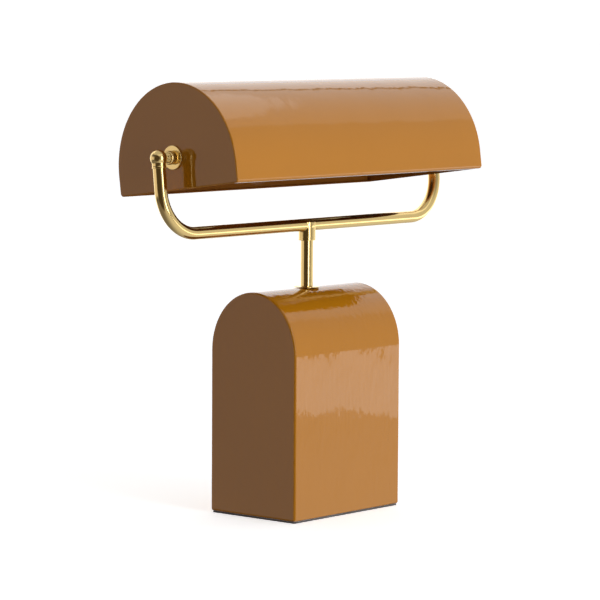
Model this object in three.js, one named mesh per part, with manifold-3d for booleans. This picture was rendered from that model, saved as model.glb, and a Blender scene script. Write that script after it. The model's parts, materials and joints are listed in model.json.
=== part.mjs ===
// Banker desk lamp: a tunnel-shaped sheet-steel base, a brass stem and yoke, and an
// arched lacquered shade that tilts on two hollow pins at the tips of the yoke.
//
// Millimetres, +Z up. X runs along the shade, -Y is the side a reader sits at, and the
// origin is the centre of the felt underside. Left means -X and right means +X.

import * as THREE from 'three';
import { mergeVertices } from 'three/addons/utils/BufferGeometryUtils.js';
import Module from 'manifold-3d';

const wasm = await Module();
wasm.setup();

// ---------------------------------------------------------------- driving dimensions

const GAP = 0.3;                  // clearance between touching pieces

const BASE_WIDTH = 162;           // along X
const BASE_DEPTH = 110;           // along Y
const BASE_HEIGHT = 223;          // floor to the crest of the arch
const BASE_RISE = 60;             // height of the elliptical arch above its spring line
const BASE_SHEET = 1.5;
const FELT_THICKNESS = 1.5;
const FELT_INSET = 1;
const FLOOR_THICKNESS = 2;

const TUBE_RADIUS = 6.2;          // stem and yoke tube
const TUBE_BORE = 5.2;
const NIPPLE_RADIUS = 4.8;        // M10 lamp thread, on the stem and on both pivots
const NIPPLE_BORE = 3.5;

const YOKE_HEIGHT = 285.5;        // axis of the horizontal bar
const YOKE_ARM = 73.2;            // bar axis to pivot axis
const YOKE_HALF_SPAN = 209.2;     // stem axis to the axis of each upright arm
const YOKE_BEND = 43.5;           // centre-line radius of both bends
const YOKE_LEAN = THREE.MathUtils.degToRad(5.6);    // arms lean back from the bar

const BALL_RADIUS = 8.2;
const DISC_RADIUS = 11.7;
const BEAD_RADIUS = 6.8;

const SHADE_LENGTH = 377;         // outside the end caps
const SHADE_HALF_DEPTH = 76.5;
const SHADE_RISE = 83;            // height of the elliptical arch above its spring line
const SHADE_SKIRT = 19.5;         // straight sides below the spring line
const SHADE_SHEET = 1;
const RIM_RADIUS = 3.5;           // bend of the turned-in rim
const RIM_LIP = 2;                // flat of the rim past the bend
const PIVOT_RISE = 11.8;          // pivot axis above the spring line
const PIVOT_BACK = 2.3;           // pivot axis behind the middle of the shade
const SHADE_TILT = THREE.MathUtils.degToRad(7.7);   // front rim raised at rest

const ARCH_STEPS = 30;
const RIM_STEPS = 3;
const ROUND = 16;                 // facets of an ordinary turned piece
const FINE_ROUND = 20;            // facets of a wide one
const COARSE_ROUND = 10;          // facets of a narrow one
const LEAD_SIDES = 6;

// --------------------------------------------------------------------------- materials

const finish = (color, roughness, metalness) =>
  new THREE.MeshStandardMaterial({ color, roughness, metalness });

const FINISHES = {
  lacquer: () => finish(0xb9803f, 0.12, 0),
  brass: () => finish(0xc9ad6a, 0.2, 1),
  iron: () => finish(0x3b3a38, 0.8, 0.6),
  steel: () => finish(0xa9aaac, 0.4, 1),
  felt: () => finish(0x2b2724, 0.95, 0),
  rubber: () => finish(0x1b1b1b, 0.8, 0),
  plastic: () => finish(0x1f1e1d, 0.5, 0),
  insulation: () => finish(0xd9d2c0, 0.6, 0),
  aluminium: () => finish(0xc4c6c8, 0.35, 1),
  glass: () => finish(0xf4f1e8, 0.15, 0),
};

// ------------------------------------------------------------------- solids and booleans

function toSolid(geometry) {
  const bare = geometry.index ? geometry.clone() : geometry;
  bare.deleteAttribute('normal');
  bare.deleteAttribute('uv');
  const welded = mergeVertices(bare, 1e-4);
  const mesh = new wasm.Mesh({
    numProp: 3,
    vertProperties: new Float32Array(welded.attributes.position.array),
    triVerts: new Uint32Array(welded.index.array),
  });
  return new wasm.Manifold(mesh);
}

function toGeometry(solid) {
  const mesh = solid.getMesh();
  const geometry = new THREE.BufferGeometry();
  geometry.setAttribute('position', new THREE.BufferAttribute(mesh.vertProperties, 3));
  geometry.setIndex(new THREE.BufferAttribute(mesh.triVerts, 1));
  return geometry;
}

const cut = (body, ...tools) =>
  toGeometry(tools.reduce((solid, tool) => solid.subtract(toSolid(tool)), toSolid(body)));

const join = (body, ...others) =>
  toGeometry(others.reduce((solid, other) => solid.add(toSolid(other)), toSolid(body)));

const common = (body, other) => toGeometry(toSolid(body).intersect(toSolid(other)));

// ---------------------------------------------------------------------- shape builders

const V2 = (x, y) => new THREE.Vector2(x, y);
const V3 = (x, y, z) => new THREE.Vector3(x, y, z);

// Turns a geometry drawn in XY and extruded along Z into one drawn in YZ along X.
const DRAWN_ACROSS = new THREE.Matrix4().makeBasis(V3(0, 1, 0), V3(0, 0, 1), V3(1, 0, 0));

// Turns a geometry made round Y into one round Z, or round X with its top towards +X.
const roundZ = (geometry) => geometry.rotateX(Math.PI / 2);
const roundX = (geometry) => geometry.rotateZ(-Math.PI / 2);

function box(width, depth, height, x, y, z) {
  return new THREE.BoxGeometry(width, depth, height).translate(x, y, z);
}

// Upright cylinder between two heights.
function post(radius, bottom, top, x = 0, y = 0, sides = ROUND) {
  const height = top - bottom;
  const cylinder = roundZ(new THREE.CylinderGeometry(radius, radius, height, sides));
  return cylinder.translate(x, y, bottom + height / 2);
}

// Level cylinder along X between two stations.
function rod(radius, from, to, sides = ROUND) {
  const length = to - from;
  const cylinder = roundX(new THREE.CylinderGeometry(radius, radius, length, sides));
  return cylinder.translate(from + length / 2, 0, 0);
}

// Upright turned piece from [radius, height] pairs; a ring lists its whole section.
function turned(pairs, sides = ROUND) {
  const points = pairs.map(([radius, height]) => V2(radius, height));
  return roundZ(new THREE.LatheGeometry(points, sides));
}

// Hexagon nut on an upright axis.
function hexNut(cornerRadius, bore, bottom, top) {
  return cut(post(cornerRadius, bottom, top, 0, 0, 6), post(bore, bottom - 1, top + 1));
}

// A ring's section: bore and outside between two heights, closed on itself.
function ringSection(bore, radius, bottom, top) {
  return [[bore, bottom], [radius, bottom], [radius, top], [bore, top], [bore, bottom]];
}

function arcPoints(centreX, centreY, radiusX, radiusY, fromDegrees, toDegrees, steps) {
  return Array.from({ length: steps + 1 }, (_, i) => {
    const degrees = fromDegrees + (toDegrees - fromDegrees) * i / steps;
    const angle = THREE.MathUtils.degToRad(degrees);
    return V2(centreX + radiusX * Math.cos(angle), centreY + radiusY * Math.sin(angle));
  });
}

// Open line of an arch, from its right foot over the crest to its left foot. The spring
// line is at height 0, the feet are at -skirt, and a rim bend turns them inwards.
function archLine(halfWidth, rise, skirt, rimRadius, inset) {
  const half = halfWidth - inset;
  const crown = arcPoints(0, 0, half, rise - inset, 0, 180, ARCH_STEPS);
  if (rimRadius === 0) {
    return [V2(half, -skirt), ...crown, V2(-half, -skirt)];
  }
  const bend = rimRadius - inset;
  const centreX = halfWidth - rimRadius;
  const centreY = rimRadius - skirt;
  const right = arcPoints(centreX, centreY, bend, bend, -90, 0, RIM_STEPS);
  const left = arcPoints(-centreX, centreY, bend, bend, 180, 270, RIM_STEPS);
  return [...right, ...crown, ...left];
}

function extrudeAcross(points, from, to) {
  const options = { depth: to - from, bevelEnabled: false, steps: 1 };
  const geometry = new THREE.ExtrudeGeometry(new THREE.Shape(points), options);
  return geometry.applyMatrix4(DRAWN_ACROSS).translate(from, 0, 0);
}

// ------------------------------------------------------------------------- scene graph

const lamp = new THREE.Group();
lamp.name = 'banker_desk_lamp';

function add(parent, name, geometry, material) {
  const mesh = new THREE.Mesh(geometry, FINISHES[material]());
  mesh.name = name;
  parent.add(mesh);
  return mesh;
}

const SIDES = [['left', -1], ['right', 1]];

// ------------------------------------------------------------------------ weighted base

const housingFoot = FELT_THICKNESS + GAP;
const springHeight = BASE_HEIGHT - BASE_RISE;
const baseSkirt = springHeight - housingFoot;
const innerHalfWidth = BASE_WIDTH / 2 - BASE_SHEET - GAP;
const innerHalfDepth = BASE_DEPTH / 2 - BASE_SHEET - GAP;
const floorTop = housingFoot + FLOOR_THICKNESS;

const GROMMET_HEIGHT = 32;
const GROMMET_GROOVE = 5.8;
const GROMMET_FLANGE = 8;
const GROMMET_LIP = 1.5;          // thickness of its inner flange, and its outer chamfer
const GROMMET_COLLAR = 2;         // thickness of its outer flange

function buildHousing() {
  const outside = archLine(BASE_DEPTH / 2, BASE_RISE, baseSkirt, 0, 0);
  const inside = archLine(BASE_DEPTH / 2, BASE_RISE, baseSkirt, 0, BASE_SHEET);
  const section = [...outside, ...inside.reverse()];
  const sheet = extrudeAcross(section, -innerHalfWidth, innerHalfWidth);
  sheet.translate(0, 0, springHeight);
  const stemHole = post(NIPPLE_RADIUS + GAP, springHeight, BASE_HEIGHT + 1);
  const cordHole = new THREE.CylinderGeometry(
    GROMMET_GROOVE + GAP, GROMMET_GROOVE + GAP, BASE_DEPTH / 2, ROUND);
  cordHole.translate(0, BASE_DEPTH / 2, GROMMET_HEIGHT);
  add(lamp, 'base_wrap', cut(sheet, stemHole, cordHole), 'lacquer');

  for (const [side, sign] of SIDES) {
    const plate = extrudeAcross(outside, 0, BASE_SHEET);
    const x = sign < 0 ? -BASE_WIDTH / 2 : BASE_WIDTH / 2 - BASE_SHEET;
    plate.translate(x, 0, springHeight);
    add(lamp, `base_end_${side}`, plate, 'lacquer');
  }
}

const BRACKET_LEG = 16;
const BRACKET_SHEET = 1.5;
const BRACKET_HALF_LENGTH = 36;
const FLOOR_SCREW_INSET = 9;      // from the inside of the end plates
const FLOOR_SCREW_X = innerHalfWidth - FLOOR_SCREW_INSET;
const FLOOR_SCREW_Y = 26;
const SCREW_RADIUS = 2;
const SCREW_HEAD = 4;
const SCREW_LENGTH = 12;
const SCREW_LAND = 0.2;           // straight part at each end of the countersink
const BALLAST_WIDTH = 120;
const BALLAST_DEPTH = 76;
const BALLAST_HEIGHT = 20;
const BALLAST_SCREW_X = 40;
const ballastFoot = floorTop + GAP;

// Countersunk screw, head down, whose flat is flush with the underside of the floor.
function countersunk(clearance) {
  const shank = SCREW_RADIUS + clearance;
  const foot = housingFoot - (clearance > 0 ? 1 : 0);
  return turned([
    [0, foot],
    [SCREW_HEAD + clearance, foot],
    [SCREW_HEAD + clearance, housingFoot + SCREW_LAND],
    [shank, floorTop - SCREW_LAND],
    [shank, housingFoot + SCREW_LENGTH + clearance],
    [0, housingFoot + SCREW_LENGTH + clearance],
  ], COARSE_ROUND);
}

function buildFloor() {
  const screwSpots = [];
  for (const x of [-FLOOR_SCREW_X, FLOOR_SCREW_X]) {
    for (const y of [-FLOOR_SCREW_Y, FLOOR_SCREW_Y]) {
      screwSpots.push({ name: `floor_screw_${screwSpots.length + 1}`, x, y });
    }
  }
  [-BALLAST_SCREW_X, BALLAST_SCREW_X].forEach((x, i) => {
    screwSpots.push({ name: `ballast_screw_${i + 1}`, x, y: 0 });
  });
  const holes = screwSpots.map(({ x, y }) => countersunk(GAP).translate(x, y, 0));

  const feltSize = [BASE_WIDTH - 2 * FELT_INSET, BASE_DEPTH - 2 * FELT_INSET];
  add(lamp, 'felt_pad', box(...feltSize, FELT_THICKNESS, 0, 0, FELT_THICKNESS / 2), 'felt');

  const floor = box(2 * innerHalfWidth, 2 * innerHalfDepth, FLOOR_THICKNESS,
    0, 0, housingFoot + FLOOR_THICKNESS / 2);
  add(lamp, 'floor_plate', cut(floor, ...holes), 'steel');

  const ballast = box(BALLAST_WIDTH, BALLAST_DEPTH, BALLAST_HEIGHT,
    0, 0, ballastFoot + BALLAST_HEIGHT / 2);
  add(lamp, 'ballast_block', cut(ballast, ...holes.slice(-2)), 'iron');

  for (const [side, sign] of SIDES) {
    const length = 2 * BRACKET_HALF_LENGTH;
    const flatX = innerHalfWidth - BRACKET_LEG / 2;
    const flat = box(BRACKET_LEG, length, BRACKET_SHEET,
      sign * flatX, 0, ballastFoot + BRACKET_SHEET / 2);
    const upright = box(BRACKET_SHEET, length, BRACKET_LEG,
      sign * (innerHalfWidth - BRACKET_SHEET / 2), 0, ballastFoot + BRACKET_LEG / 2);
    const angle = cut(join(flat, upright), ...holes.slice(0, 4));
    add(lamp, `floor_bracket_${side}`, angle, 'steel');
  }

  for (const { name, x, y } of screwSpots) {
    add(lamp, name, countersunk(0).translate(x, y, 0), 'steel');
  }
}

const TERMINAL_SIZE = [34, 18, 15];
const TERMINAL_Y = 16;
const WELL_RADIUS = 1.8;
const WELL_SPACING = 8;
const WELL_START = 2;             // bottom of the wells above the block's middle
const terminalFoot = ballastFoot + BALLAST_HEIGHT + GAP;
const GROMMET_BORE = 3.6;

function buildBaseWiring() {
  const [width, depth, height] = TERMINAL_SIZE;
  const middle = terminalFoot + height / 2;
  const block = box(width, depth, height, 0, TERMINAL_Y, middle);
  const wells = [-1.5, -0.5, 0.5, 1.5].map((place) => post(
    WELL_RADIUS, middle + WELL_START, middle + height,
    place * WELL_SPACING, TERMINAL_Y, COARSE_ROUND));
  add(lamp, 'terminal_block', cut(block, ...wells), 'plastic');

  const wallOut = BASE_DEPTH / 2 + GAP;
  const wallIn = BASE_DEPTH / 2 - BASE_SHEET - GAP;
  const grommet = new THREE.LatheGeometry([
    V2(GROMMET_BORE, wallIn - GROMMET_LIP), V2(GROMMET_FLANGE, wallIn - GROMMET_LIP),
    V2(GROMMET_FLANGE, wallIn), V2(GROMMET_GROOVE, wallIn),
    V2(GROMMET_GROOVE, wallOut), V2(GROMMET_FLANGE, wallOut),
    V2(GROMMET_FLANGE, wallOut + GROMMET_COLLAR / 2),
    V2(GROMMET_FLANGE - GROMMET_LIP, wallOut + GROMMET_COLLAR),
    V2(GROMMET_BORE, wallOut + GROMMET_COLLAR), V2(GROMMET_BORE, wallIn - GROMMET_LIP),
  ], ROUND);
  grommet.translate(0, 0, GROMMET_HEIGHT);
  add(lamp, 'cord_grommet', grommet, 'rubber');
}

// ---------------------------------------------------------------------- stem and collar

const STEM_WASHER_RADIUS = 12.7;
const STEM_WASHER_THICKNESS = 0.8;
const STAR_WASHER_RADIUS = 9;
const STAR_WASHER_THICKNESS = 1;
const CEILING_DROP = 1.2;         // the star washer's rim meets the curved ceiling first
const NUT_RADIUS = 8.1;           // M10 hexagon, across corners
const NUT_HEIGHT = 5;
const NIPPLE_DEPTH = 14;          // length of the stem nipple below the crest
const NIPPLE_ENGAGEMENT = 13;     // and inside the stem
const COLLAR_RADIUS = 8.5;
const COLLAR_DROP = 15.5;         // bottom of the collar below the bar axis
const COLLAR_SOCKET = 6;
const SADDLE_RADIUS = 8.2;
const SADDLE_TOP = 3.5;           // top of the saddle above the bar axis
const COLLAR_NECK = 3;            // top of the collar's full round below the bar axis

const washerFoot = BASE_HEIGHT + GAP;
const stemFoot = washerFoot + STEM_WASHER_THICKNESS + GAP;
const collarFoot = YOKE_HEIGHT - COLLAR_DROP;
const stemTop = collarFoot + COLLAR_SOCKET;

function buildStem() {
  const bore = NIPPLE_RADIUS + GAP;
  const washerTop = washerFoot + STEM_WASHER_THICKNESS;
  const washer = ringSection(bore, STEM_WASHER_RADIUS, washerFoot, washerTop);
  add(lamp, 'stem_washer', turned(washer, FINE_ROUND), 'brass');

  const nippleFoot = BASE_HEIGHT - NIPPLE_DEPTH;
  const nippleTop = stemFoot + NIPPLE_ENGAGEMENT;
  const nipple = ringSection(NIPPLE_BORE, NIPPLE_RADIUS, nippleFoot, nippleTop);
  add(lamp, 'stem_nipple', turned(nipple), 'brass');

  const starTop = BASE_HEIGHT - BASE_SHEET - CEILING_DROP;
  const starFoot = starTop - STAR_WASHER_THICKNESS;
  const starWasher = ringSection(bore, STAR_WASHER_RADIUS, starFoot, starTop);
  add(lamp, 'stem_star_washer', turned(starWasher), 'steel');
  const nutTop = starFoot - GAP;
  add(lamp, 'stem_nut', hexNut(NUT_RADIUS, bore, nutTop - NUT_HEIGHT, nutTop), 'steel');

  const tube = ringSection(TUBE_BORE, TUBE_RADIUS, stemFoot, stemTop);
  add(lamp, 'stem_tube', turned(tube), 'brass');

  const reach = 2 * COLLAR_RADIUS;
  const bar = rod(TUBE_RADIUS + GAP, -reach, reach, FINE_ROUND).translate(0, 0, YOKE_HEIGHT);
  const around = rod(SADDLE_RADIUS, -reach, reach, FINE_ROUND).translate(0, 0, YOKE_HEIGHT);
  const full = post(COLLAR_RADIUS, collarFoot, YOKE_HEIGHT + SADDLE_TOP, 0, 0, FINE_ROUND);
  const lower = post(COLLAR_RADIUS, collarFoot, YOKE_HEIGHT - COLLAR_NECK, 0, 0, FINE_ROUND);
  const collar = join(common(full, around), lower);
  const socket = post(TUBE_RADIUS + GAP, collarFoot - 1, stemTop + GAP);
  const passage = post(NIPPLE_BORE, collarFoot, YOKE_HEIGHT);
  add(lamp, 'tee_collar', cut(collar, bar, socket, passage), 'brass');
}

// --------------------------------------------------------------- yoke, balls and pivots
// The yoke group stands at the bar axis and leans back, so its own XZ plane holds the bar
// and both arms, and the pivot axis is at height YOKE_ARM in it.

const BALL_COLLAR_RADIUS = 7;
const BALL_COLLAR_DROP = 9.6;     // bottom of the ball's collar below the pivot axis
const BALL_COLLAR_TOP = 3;
const BALL_PASSAGE = 4.2;         // radius of the lead's way up into the ball
const SOCKET_SEAT = 5.6;          // top end of each arm below the pivot axis
const PIN_START = 205.7;          // outer end of each hollow pin, inside the ball
const PIN_END = 168;              // inner end, inside the lampholder
const BEND_STEPS = 8;

const yoke = new THREE.Group();
yoke.position.set(0, 0, YOKE_HEIGHT);
yoke.rotation.x = -YOKE_LEAN;
lamp.add(yoke);

// A line through given stations, swept with one step from each station to the next.
class StationLine extends THREE.Curve {
  constructor(stations) {
    super();
    this.stations = stations;
  }

  getPoint(t) {
    const spans = this.stations.length - 1;
    const i = Math.min(Math.floor(t * spans), spans - 1);
    return this.stations[i].clone().lerp(this.stations[i + 1], t * spans - i);
  }

  // Keeps the stations where they are, instead of evening out the distances.
  getUtoTmapping(u) {
    return u;
  }

  getTangent(t) {
    const last = this.stations.length - 1;
    const i = Math.round(t * last);
    const here = this.stations[i];
    const into = here.clone().sub(this.stations[Math.max(i - 1, 0)]).normalize();
    const out = this.stations[Math.min(i + 1, last)].clone().sub(here).normalize();
    return into.add(out).normalize();
  }
}

function circlePath(radius, sides) {
  return arcPoints(0, 0, radius, radius, 0, 360 - 360 / sides, sides - 1);
}

function sweep(section, stations) {
  const extrudePath = new StationLine(stations);
  return new THREE.ExtrudeGeometry(section, { extrudePath, steps: stations.length - 1 });
}

// One bend of the yoke's centre line, from the bar up to the arm, in the XZ plane.
function yokeBend(sign, steps) {
  return arcPoints(YOKE_HALF_SPAN - YOKE_BEND, YOKE_BEND, YOKE_BEND, YOKE_BEND, 270, 360, steps)
    .map((p) => V3(sign * p.x, 0, p.y));
}

function buildYoke() {
  const section = new THREE.Shape(circlePath(TUBE_RADIUS, ROUND));
  section.holes.push(new THREE.Path(circlePath(TUBE_BORE, ROUND / 2)));
  const armTop = YOKE_ARM - SOCKET_SEAT;
  const tube = sweep(section, [
    V3(-YOKE_HALF_SPAN, 0, armTop), ...yokeBend(-1, BEND_STEPS).reverse(),
    ...yokeBend(1, BEND_STEPS), V3(YOKE_HALF_SPAN, 0, armTop),
  ]);
  const wireHole = post(NIPPLE_BORE, -2 * TUBE_RADIUS, 0);
  add(yoke, 'yoke_tube', cut(tube, wireHole), 'brass');

  for (const [side, sign] of SIDES) {
    const sphere = new THREE.SphereGeometry(BALL_RADIUS, FINE_ROUND, COARSE_ROUND);
    const collar = post(BALL_COLLAR_RADIUS, -BALL_COLLAR_DROP, -BALL_COLLAR_TOP);
    const socket = post(TUBE_RADIUS + GAP, -BALL_COLLAR_DROP - 1, GAP - SOCKET_SEAT);
    const passage = post(BALL_PASSAGE, -BALL_COLLAR_DROP, 0);
    const pinHole = rod(NIPPLE_RADIUS + GAP, 0, 2 * BALL_RADIUS);
    const ball = cut(join(roundZ(sphere), collar), socket, passage, pinHole);
    if (sign > 0) ball.rotateZ(Math.PI);
    ball.translate(sign * YOKE_HALF_SPAN, 0, YOKE_ARM);
    add(yoke, `yoke_ball_${side}`, ball, 'brass');
  }
}

const PIVOT_WASHER_RADIUS = 9;
const PIVOT_WASHER_THICKNESS = 1;
const PIVOT_NUT_HEIGHT = 4;
const HOLDER_RADIUS = 13;
const HOLDER_NECK = 9;            // radius at its outer end
const HOLDER_TAPER = 6;           // length over which it widens
const HOLDER_FLOOR = 1;           // thickness of the cavity's floor
const HOLDER_CAVITY = 7.6;
const HOLDER_MOUTH = 140;
const BULB_BASE_RADIUS = 7;
const BULB_BASE_LENGTH = 20;
const CONTACT_RADIUS = 2.5;       // centre contact at the end of the bulb's base
const CONTACT_LENGTH = 1.5;
const BULB_RADIUS = 22.5;
const BULB_WALL = 1;
const BULB_LENGTH = 62;           // of glass, neck to tip
const BULB_SHOULDER = 32;         // degrees from its axis where the globe meets the neck
const BULB_STEPS = 7;

// Groups whose own +Z runs from the right-hand or left-hand yoke tip to the middle of the
// shade, along the pivot axis; heights in them are distances from the tip.
function pivotLine(sign) {
  const group = new THREE.Group();
  group.position.set(sign * YOKE_HALF_SPAN, 0, YOKE_ARM);
  group.rotation.y = -sign * Math.PI / 2;
  yoke.add(group);
  return group;
}

// Opal globe open at its neck, as a ring section: outside down, then inside back up.
function bulbSection(neck, tip) {
  const centre = tip - BULB_RADIUS;
  const outside = arcPoints(0, 0, BULB_RADIUS, BULB_RADIUS, BULB_SHOULDER, 180, BULB_STEPS)
    .map((p) => [Math.max(p.y, 0), centre - p.x]);
  const inner = BULB_RADIUS - BULB_WALL;
  const inside = arcPoints(0, 0, inner, inner, 180, BULB_SHOULDER + 1, BULB_STEPS)
    .map((p) => [Math.max(p.y, 0), centre - p.x]);
  return [[BULB_BASE_RADIUS, neck], ...outside, ...inside,
    [BULB_BASE_RADIUS - BULB_WALL, neck], [BULB_BASE_RADIUS, neck]];
}

function buildPivots() {
  const bore = NIPPLE_RADIUS + GAP;
  const inwards = (station) => YOKE_HALF_SPAN - station;
  for (const [side, sign] of SIDES) {
    const line = pivotLine(sign);
    const pin = ringSection(NIPPLE_BORE, NIPPLE_RADIUS, inwards(PIN_START), inwards(PIN_END));
    add(line, `pivot_pin_${side}`, turned(pin), 'brass');

    const washerFrom = inwards(SHADE_LENGTH / 2 - SHADE_SHEET - GAP);
    const washerTo = washerFrom + PIVOT_WASHER_THICKNESS;
    const washer = ringSection(bore, PIVOT_WASHER_RADIUS, washerFrom, washerTo);
    add(line, `pivot_washer_${side}`, turned(washer), 'steel');
    const nutFrom = washerTo + GAP;
    const nutTo = nutFrom + PIVOT_NUT_HEIGHT;
    add(line, `pivot_nut_${side}`, hexNut(NUT_RADIUS, bore, nutFrom, nutTo), 'steel');

    const holderFrom = nutTo + GAP;
    const cavityFloor = inwards(PIN_END) + HOLDER_FLOOR;
    const mouth = inwards(HOLDER_MOUTH);
    const holder = [
      [bore, holderFrom], [HOLDER_NECK, holderFrom], [HOLDER_RADIUS, holderFrom + HOLDER_TAPER],
      [HOLDER_RADIUS, mouth], [HOLDER_CAVITY, mouth], [HOLDER_CAVITY, cavityFloor],
      [bore, cavityFloor], [bore, holderFrom],
    ];
    add(line, `lampholder_${side}`, turned(holder), 'plastic');

    const baseTo = mouth + 1;
    const baseFrom = baseTo - BULB_BASE_LENGTH;
    const bulbBase = [
      [0, baseFrom], [CONTACT_RADIUS, baseFrom], [CONTACT_RADIUS, baseFrom + CONTACT_LENGTH],
      [BULB_BASE_RADIUS, baseFrom + 2 * CONTACT_LENGTH], [BULB_BASE_RADIUS, baseTo],
      [0, baseTo],
    ];
    add(line, `bulb_base_${side}`, turned(bulbBase), 'aluminium');
    const neck = baseTo + GAP;
    add(line, `bulb_globe_${side}`, turned(bulbSection(neck, neck + BULB_LENGTH)), 'glass');
  }
}

// ----------------------------------------------------------------------- internal leads
// One two-core lead serves each lampholder. It climbs the stem, runs along the bar and up
// its arm, turns inside the ball and ends in the lampholder.

const LEAD_RADIUS = 1.4;
const LEAD_SPACING = 1.8;         // each lead beside the stem axis
const LEAD_BEND_STEPS = 6;

function leadRoute(sign) {
  const base = [
    [6, 4, terminalFoot + 8], [6, 1, terminalFoot + 16], [5, 0, 80],
    [LEAD_SPACING, 0, 180], [LEAD_SPACING, 0, 230], [LEAD_SPACING, 0, 272],
  ].map(([x, y, z]) => V3(sign * x, y, z));
  const lean = new THREE.Matrix4().makeRotationX(-YOKE_LEAN).setPosition(0, 0, YOKE_HEIGHT);
  const bar = [[1.9, -5], [3.4, -1.6], [8, 0]].map(([x, z]) => V3(sign * x, 0, z));
  const tip = [[0, -9], [-0.4, -5], [-1.4, -2.4], [-3.2, -0.8], [-6, 0], [-20, 0]]
    .map(([x, z]) => V3(sign * (YOKE_HALF_SPAN + x), 0, YOKE_ARM + z));
  const end = V3(sign * (PIN_END - 3), 0, YOKE_ARM);
  const upper = [...bar, ...yokeBend(sign, LEAD_BEND_STEPS), ...tip, end]
    .map((point) => point.applyMatrix4(lean));
  return [...base, ...upper];
}

function buildLeads() {
  const section = new THREE.Shape(circlePath(LEAD_RADIUS, LEAD_SIDES));
  for (const [side, sign] of SIDES) {
    add(lamp, `lead_${side}`, sweep(section, leadRoute(sign)), 'insulation');
  }
}

// -------------------------------------------------------------------------------- shade
// The shade group sits on the pivot axis and holds the shade level; its rotation tilts
// the front rim up to the resting angle.

const shade = new THREE.Group();
shade.position.set(
  0, YOKE_ARM * Math.sin(YOKE_LEAN), YOKE_HEIGHT + YOKE_ARM * Math.cos(YOKE_LEAN));
shade.rotation.x = -SHADE_TILT;
lamp.add(shade);

const DISC_THICKNESS = 1.6;
const DISC_EDGE = 0.4;
const BEAD_LENGTH = 6.2;
const BEAD_SHOULDER = 5.9;
const BEAD_STEPS = 4;

function buildShade() {
  const half = SHADE_LENGTH / 2;
  const shellHalf = half - SHADE_SHEET - GAP;
  const line = (inset) =>
    archLine(SHADE_HALF_DEPTH, SHADE_RISE, SHADE_SKIRT, RIM_RADIUS, inset);
  const lipX = SHADE_HALF_DEPTH - RIM_RADIUS - RIM_LIP;
  const outside = [V2(lipX, -SHADE_SKIRT), ...line(0), V2(-lipX, -SHADE_SKIRT)];
  const lipTop = SHADE_SHEET - SHADE_SKIRT;
  const inside = [V2(lipX, lipTop), ...line(SHADE_SHEET), V2(-lipX, lipTop)];
  const shell = extrudeAcross([...outside, ...inside.reverse()], -shellHalf, shellHalf);
  shell.translate(0, -PIVOT_BACK, -PIVOT_RISE);
  add(shade, 'shade_shell', shell, 'lacquer');

  for (const [side, sign] of SIDES) {
    const plate = extrudeAcross(line(0), 0, SHADE_SHEET);
    plate.translate(sign < 0 ? -half : half - SHADE_SHEET, -PIVOT_BACK, -PIVOT_RISE);
    const hole = rod(NIPPLE_RADIUS + 2 * GAP, -half - 5, half + 5);
    add(shade, `shade_cap_${side}`, cut(plate, hole), 'lacquer');

    // Turned pieces outside the cap, drawn with heights as distances from the middle.
    const outwards = (pairs, sides) => {
      const ring = turned(pairs, sides).rotateY(Math.PI / 2);
      return sign < 0 ? ring.rotateZ(Math.PI) : ring;
    };
    const bore = NIPPLE_RADIUS + 2 * GAP;
    const discFrom = half + GAP;
    const discTo = discFrom + DISC_THICKNESS;
    const disc = [
      [bore, discFrom], [DISC_RADIUS, discFrom], [DISC_RADIUS, discTo - DISC_EDGE],
      [DISC_RADIUS - DISC_EDGE, discTo], [bore, discTo], [bore, discFrom],
    ];
    add(shade, `pivot_disc_${side}`, outwards(disc, FINE_ROUND), 'brass');

    const beadFrom = discTo + GAP;
    const middle = beadFrom + BEAD_LENGTH / 2;
    const barrel = arcPoints(BEAD_SHOULDER, middle, BEAD_RADIUS - BEAD_SHOULDER,
      BEAD_LENGTH / 2, -90, 90, BEAD_STEPS).map((p) => [p.x, p.y]);
    const bead = [[bore, beadFrom], ...barrel, [bore, beadFrom + BEAD_LENGTH],
      [bore, beadFrom]];
    add(shade, `pivot_bead_${side}`, outwards(bead, ROUND), 'brass');
  }
}

buildHousing();
buildFloor();
buildBaseWiring();
buildStem();
buildYoke();
buildPivots();
buildLeads();
buildShade();

export default lamp;
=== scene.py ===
"""The looks of a banker desk lamp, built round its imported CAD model.

Metres and +Z up, in the frame of the CAD model: X runs along the shade, -Y is the
reader's side and the origin is the centre of the felt underside. Left is -X.
"""

import json
import math

import bmesh
import bpy
from mathutils import Matrix, Vector


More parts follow.
